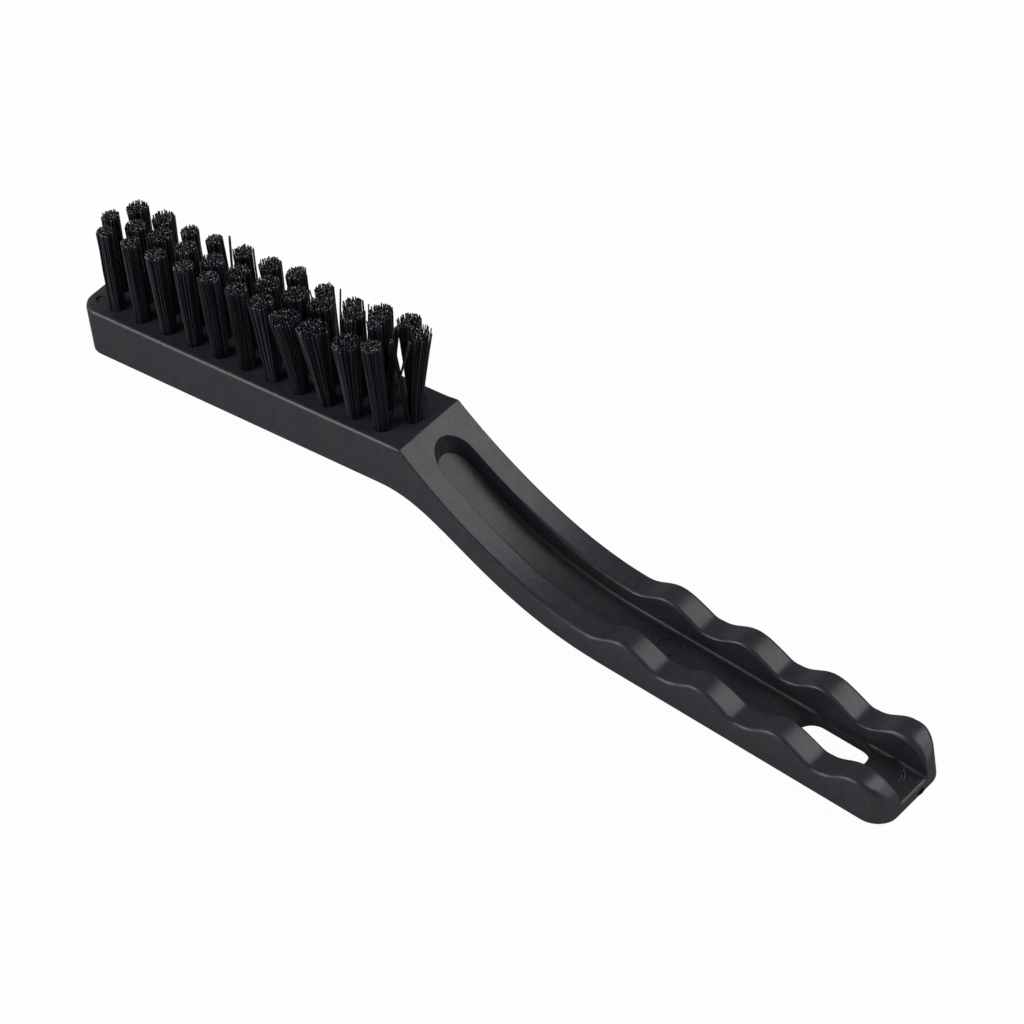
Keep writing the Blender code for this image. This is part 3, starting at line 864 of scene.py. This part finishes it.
# How far each tuft's top leans, as a share of the tuft pitch (x, y)
LEAN_SHARES = {
    'front': ((0.07, 0.05), (0.06, 0.04), (0.04, 0.02), (0.09, 0.04), (0.03, 0.04), (0.06, 0.04),
              (-0.01, 0.04), (0.07, -0.20), (0.03, -0.14), (0.25, -0.10), (0.00, 0.10)),
    'middle': ((0.19, -0.03), (0.13, 0.00), (0.07, 0.02), (0.09, -0.03), (0.14, -0.05), (0.10, -0.06),
               (0.11, 0.01), (0.10, 0.07), (0.04, 0.10), (0.10, 0.19), (0.00, 0.28), (0.20, 0.50)),
    'rear': ((0.14, -0.09), (0.07, -0.02), (0.18, -0.12), (0.06, -0.05), (0.11, -0.02), (0.16, -0.06),
             (0.07, 0.02), (0.23, -0.12), (0.27, -0.14), (0.16, 0.02), (0.14, 0.08)),
}
# How much wider each tuft is at its top than at its root
FAN_SHARES = {
    'front': (1.04, 1.20, 1.28, 1.30, 1.32, 1.38, 1.62, 1.90, 1.95, 1.85, 1.36),
    'middle': (1.10, 1.32, 1.50, 1.42, 1.42, 1.42, 1.60, 1.62, 1.65, 1.55, 1.58, 1.78),
    'rear': (1.45, 1.50, 1.14, 1.08, 1.30, 1.46, 1.27, 1.20, 1.27, 1.46, 1.52),
}
# Filaments that stand apart from their tuft: how many, and how far their tips stand from its top
STRAYS = {
    ('rear', 4): ((5, 0.0016, 0.0016),),
    ('rear', 8): ((2, 0.0020, 0.0013), (1, -0.0017, -0.0014)),
    ('rear', 9): ((2, 0.0022, 0.0011),),
    ('front', 11): ((4, 0.0047, 0.0042),),
    ('middle', 11): ((26, 0.0034, 0.0006),),
    ('middle', 12): ((10, -0.0043, -0.0031), (20, -0.0026, -0.0038)),
}
# Heights of a filament's rings above the face, as shares of the bristle length
RING_SHARES = (-0.30, -0.03, 0.06, 0.25, 0.50, 0.75, 1.0)
# How a filament strays from its even place: shares of its diameter, then of its place in the foot
NUDGE_SHARE, BOW_SHARE = 0.36, 0.35
STRAY_SPREAD = 0.5
FAN_POWER = 1.12
# The rounded cut end: how far it rises and narrows, as shares of the radius, and its most slope
END_RISE, END_NARROWING = 0.25, 0.80
CUT_SLOPE = 0.5
FACET_DEGREES = 62
FILAMENT_COLOURS = ((0.0, (0.0024, 0.0024, 0.0038)), (0.60, (0.0068, 0.0068, 0.0100)),
                    (1.0, (0.0200, 0.0200, 0.0260)))
# Cut ends: paler than the sides, and the brightest stops are a painted glint
CUT_END_AND_GLINT_COLOURS = ((0.0, (0.004, 0.004, 0.006)), (0.50, (0.014, 0.014, 0.017)),
                   (0.75, (0.055, 0.055, 0.060)), (1.0, (0.20, 0.20, 0.21)))
WIRE_COLOURS = ((0.3, (0.36, 0.35, 0.33)), (0.7, (0.50, 0.49, 0.47)))
WIRE_SCALE = 1600.0
# Places in a tuft's list of materials
SIDE_FINISH, END_FINISH, WIRE_FINISH = 0, 1, 2
TUFT_SEED = 11


def filament_finish(name, colours, roughness, specular):
    """A material with a colour of its own for each filament."""
    finish, shader = new_finish(name, roughness, specular)
    island = add_node(finish, 'ShaderNodeNewGeometry').outputs['Random Per Island']
    finish.node_tree.links.new(add_ramp(finish, island, colours), shader.inputs['Base Color'])
    return finish


black_nylon = filament_finish('black_nylon_filament', FILAMENT_COLOURS, roughness=0.42, specular=0.08)
cut_nylon_and_glint = filament_finish('cut_nylon_end_and_painted_glint', CUT_END_AND_GLINT_COLOURS, roughness=0.50, specular=0.30)
flat_wire = mottled_finish(
    'flat_steel_wire', WIRE_SCALE, WIRE_COLOURS, roughness=0.35, specular=0.50, metallic=1.0)


def bundle_places(chance):
    """Where the filaments stand in a tuft's foot: one in the middle, and rings turned by chance."""
    places = [(0.0, 0.0)]
    for ring in range(1, FILAMENT_RINGS + 1):
        start = chance.uniform(0.0, math.pi)
        count = RING_GROWTH * ring
        for index in range(count):
            turn = start + 2 * math.pi * index / count
            reach = ring * FILAMENT_PITCH
            places.append((reach * math.cos(turn), reach * math.sin(turn)))
    return places


def filament(points, faces, marks, path, tip_tilt):
    """Add one round filament along a path, with a blunt, slightly rounded cut end."""
    first = len(points)
    radius = FILAMENT_DIAMETER / 2
    rings = [(centre, radius) for centre in path]
    axis = (path[-1] - path[-2]).normalized()
    rings.append((path[-1] + axis * radius * END_RISE, radius * END_NARROWING))
    for index, (centre, size) in enumerate(rings):
        for side in range(FILAMENT_SIDES):
            turn = 2 * math.pi * side / FILAMENT_SIDES
            offset = Vector((math.cos(turn), math.sin(turn), 0.0)) * size
            if index >= len(path) - 1:
                offset.z = offset.x * tip_tilt[0] + offset.y * tip_tilt[1]
            points.append(centre + offset)
    for index in range(len(rings) - 1):
        for side in range(FILAMENT_SIDES):
            beside = (side + 1) % FILAMENT_SIDES
            low = first + index * FILAMENT_SIDES
            high = low + FILAMENT_SIDES
            faces.append((low + side, low + beside, high + beside, high + side))
            marks.append(END_FINISH if index == len(rings) - 2 else SIDE_FINISH)
    last = first + (len(rings) - 1) * FILAMENT_SIDES
    faces.append(tuple(last + side for side in range(FILAMENT_SIDES)))
    marks.append(END_FINISH)
    faces.append(tuple(first + side for side in reversed(range(FILAMENT_SIDES))))
    marks.append(SIDE_FINISH)


def box_faces(points, faces, marks, low, high, mark):
    """Add a closed box to a mesh under construction."""
    first = len(points)
    for z in (low[2], high[2]):
        points += [Vector((low[0], low[1], z)), Vector((high[0], low[1], z)),
                   Vector((high[0], high[1], z)), Vector((low[0], high[1], z))]
    for corners in ((3, 2, 1, 0), (4, 5, 6, 7), (0, 1, 5, 4), (1, 2, 6, 5), (2, 3, 7, 6), (3, 0, 4, 7)):
        faces.append(tuple(first + corner for corner in corners))
        marks.append(mark)


def make_tuft(row, index, foot_x, foot_y, chance):
    """One tuft: its filaments from the hole's bottom to their cut ends, on its wire anchor."""
    points, faces, marks = [], [], []
    lean_share, fan = LEAN_SHARES[row][index], FAN_SHARES[row][index]
    top = Vector((foot_x + lean_share[0] * TUFT_PITCH, foot_y + lean_share[1] * TUFT_PITCH))
    tuft_top = BRISTLE_LENGTH - TRIM_SCATTER + chance.uniform(-TUFT_SCATTER, TUFT_SCATTER)
    reach = FILAMENT_RINGS * FILAMENT_PITCH
    places = bundle_places(chance)
    apart = {}
    for count, away_x, away_y in STRAYS.get((row, index + 1), ()):
        places.sort(key=lambda place: -place[0] * away_x - place[1] * away_y)
        apart.update((place, Vector((away_x, away_y))) for place in places[:count])
    for out_x, out_y in places:
        nudge = Vector((chance.gauss(0.0, 1.0), chance.gauss(0.0, 1.0))) * FILAMENT_DIAMETER * NUDGE_SHARE
        dome = (out_x ** 2 + out_y ** 2) / reach ** 2
        height = tuft_top + chance.uniform(-TRIM_SCATTER, TRIM_SCATTER) - dome * TRIM_SCATTER
        bow = Vector((chance.gauss(0.0, 1.0), chance.gauss(0.0, 1.0))) * FILAMENT_DIAMETER * BOW_SHARE
        foot = Vector((foot_x + out_x, foot_y + out_y))
        end = top + Vector((out_x, out_y)) * fan + nudge
        if (out_x, out_y) in apart:
            end = top + apart[out_x, out_y] + Vector((out_x, out_y)) * STRAY_SPREAD + nudge
        path = []
        for share in RING_SHARES:
            up = max(share, 0.0)
            flat = foot.lerp(end, up ** FAN_POWER) + bow * math.sin(math.pi * up)
            path.append(Vector((flat.x, flat.y, share * height)))
        tilt = (chance.uniform(-CUT_SLOPE, CUT_SLOPE), chance.uniform(-CUT_SLOPE, CUT_SLOPE))
        filament(points, faces, marks, path, tilt)
    anchor_foot = TUFT_CLEARANCE - HOLE_DEPTH
    box_faces(points, faces, marks,
              (foot_x - ANCHOR_THICKNESS / 2, foot_y - ANCHOR_WIDTH / 2, anchor_foot),
              (foot_x + ANCHOR_THICKNESS / 2, foot_y + ANCHOR_WIDTH / 2, anchor_foot + ANCHOR_HEIGHT),
              WIRE_FINISH)
    data = bpy.data.meshes.new(f'bristles_{row}_{index + 1:02d}')
    data.from_pydata([lay @ point for point in points], [], faces)
    for finish in (black_nylon, cut_nylon_and_glint, flat_wire):
        data.materials.append(finish)
    data.polygons.foreach_set('material_index', marks)
    data.shade_smooth()
    data.set_sharp_from_angle(angle=math.radians(FACET_DEGREES))
    tuft = bpy.data.objects.new(data.name, data)
    bpy.context.scene.collection.objects.link(tuft)
    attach(tuft, 'root')
    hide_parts(f'tuft_{row}_{index + 1:02d}')
    return tuft


tuft_chance = random.Random(TUFT_SEED)
for row, index, foot_x, foot_y in tuft_feet():
    make_tuft(row, index, foot_x, foot_y, tuft_chance)

# The stage: a plain white floor under the brush. The camera sees it nearly white with a
# faint shadow, and reflections see a little of that white.
FLOOR_HALF_SIZE = 4.0
FLOOR_COLOUR = (0.60, 0.60, 0.60)
FLOOR_GLOW_SHARE = 0.965
MIRRORED_GLOW_SHARE = 0.15
floor_mesh = bmesh.new()
corners = [(x * FLOOR_HALF_SIZE, y * FLOOR_HALF_SIZE, 0.0) for x, y in ((-1, -1), (1, -1), (1, 1), (-1, 1))]
floor_mesh.faces.new([floor_mesh.verts.new(corner) for corner in corners])
floor = link('floor', floor_mesh)
if floor.data.polygons[0].normal.z < 0:
    floor.data.flip_normals()
white_floor, shader = new_finish('white_floor', roughness=0.9, specular=0.0)
shader.inputs['Base Color'].default_value = (*FLOOR_COLOUR, 1.0)
seen = add_node(white_floor, 'ShaderNodeLightPath').outputs
mirrored = add_math(white_floor, 'MAXIMUM', seen['Is Glossy Ray'], seen['Is Transmission Ray'])
direct_share = add_math(white_floor, 'MULTIPLY', seen['Is Camera Ray'], FLOOR_GLOW_SHARE)
mirrored_share = add_math(white_floor, 'MULTIPLY', mirrored, MIRRORED_GLOW_SHARE)
share = add_math(white_floor, 'MAXIMUM', direct_share, mirrored_share)
glow = add_node(white_floor, 'ShaderNodeEmission').outputs['Emission']
mixed = add_node(white_floor, 'ShaderNodeMixShader', [(0, share), (1, shader.outputs['BSDF']), (2, glow)])
surface = white_floor.node_tree.nodes['Material Output'].inputs['Surface']
white_floor.node_tree.links.new(mixed.outputs['Shader'], surface)
floor.data.materials.append(white_floor)

# Light: a grey studio with one white wall low down at the front left, two large softboxes
# at the back right, and a small one each at the front right and the front left.
WHITE_WALL_SIDE = (-0.60, -0.80, 0.0)
WALL_BY_HEIGHT = ((0.10, (1.0, 1.0, 1.0)), (0.34, (0.0, 0.0, 0.0)))
WALL_BY_SIDE = ((0.10, (0.14, 0.14, 0.14)), (0.60, (1.0, 1.0, 1.0)))
STUDIO_COLOURS = ((0.0, (0.135, 0.135, 0.1425)), (1.0, (1.0, 1.0, 1.0)))
STUDIO_STRENGTH = 2.0
studio = bpy.data.worlds.new('studio')
bpy.context.scene.world = studio
studio.use_nodes = True
background = studio.node_tree.nodes['Background']
direction = add_node(studio, 'ShaderNodeTexCoord').outputs['Generated']
height = add_node(studio, 'ShaderNodeSeparateXYZ', [('Vector', direction)]).outputs['Z']
toward_wall = add_node(studio, 'ShaderNodeVectorMath', [(0, direction)], operation='DOT_PRODUCT')
toward_wall.inputs[1].default_value = WHITE_WALL_SIDE
low = add_ramp(studio, height, WALL_BY_HEIGHT)
on_wall = add_ramp(studio, toward_wall.outputs['Value'], WALL_BY_SIDE)
walls = add_ramp(studio, add_math(studio, 'MULTIPLY', low, on_wall), STUDIO_COLOURS)
studio.node_tree.links.new(walls, background.inputs['Color'])
background.inputs['Strength'].default_value = STUDIO_STRENGTH


def softbox(name, toward, distance, size, radiance):
    """A square area light that faces the brush, as bright as its radiance."""
    lamp = bpy.data.lights.new(name, 'AREA')
    lamp.shape = 'SQUARE'
    lamp.size = size
    lamp.energy = radiance * math.pi * size * size
    item = bpy.data.objects.new(name, lamp)
    bpy.context.scene.collection.objects.link(item)
    item.location = Vector(toward).normalized() * distance
    item.rotation_euler = Vector(toward).to_track_quat('Z', 'Y').to_euler()
    return item


softbox('softbox_back_right', toward=(0.45, 0.53, 0.72), distance=1.3, size=0.80, radiance=6.0)
softbox('softbox_right', toward=(0.80, 0.54, 0.26), distance=1.3, size=0.85, radiance=2.8)
softbox('softbox_front_right', toward=(0.53, -0.36, 0.76), distance=1.3, size=0.28, radiance=4.4)
softbox('softbox_front_left', toward=(-0.62, -0.66, 0.42), distance=0.7, size=0.40, radiance=10.4)

# The camera stands where the photograph was taken, with a long lens as for a product
# picture. Its place and directions are given in the brush's own frame.
CAMERA_PLACE = (0.5764394, -0.5470023, 0.6556395)
CAMERA_RIGHT = (0.7648541, 0.6329050, -0.1201230)
CAMERA_DOWN = (0.3478766, -0.5627269, -0.7498802)
CAMERA_AHEAD = (-0.5421993, 0.5317609, -0.6505768)
CAMERA_LENS = 189.317
CAMERA_SENSOR = 36.0
NEAREST_SEEN, FARTHEST_SEEN = 0.05, 20.0
lens = bpy.data.cameras.new('camera')
lens.lens = CAMERA_LENS
lens.sensor_width = CAMERA_SENSOR
lens.clip_start, lens.clip_end = NEAREST_SEEN, FARTHEST_SEEN
camera = bpy.data.objects.new('camera', lens)
bpy.context.scene.collection.objects.link(camera)
up, behind = [-value for value in CAMERA_DOWN], [-value for value in CAMERA_AHEAD]
axes = Matrix((CAMERA_RIGHT, up, behind)).transposed()
camera.matrix_world = lay @ Matrix.Translation(CAMERA_PLACE) @ axes.to_4x4()
bpy.context.scene.camera = camera
bpy.context.scene.view_settings.view_transform = 'Standard'

bpy.context.view_layer.update()
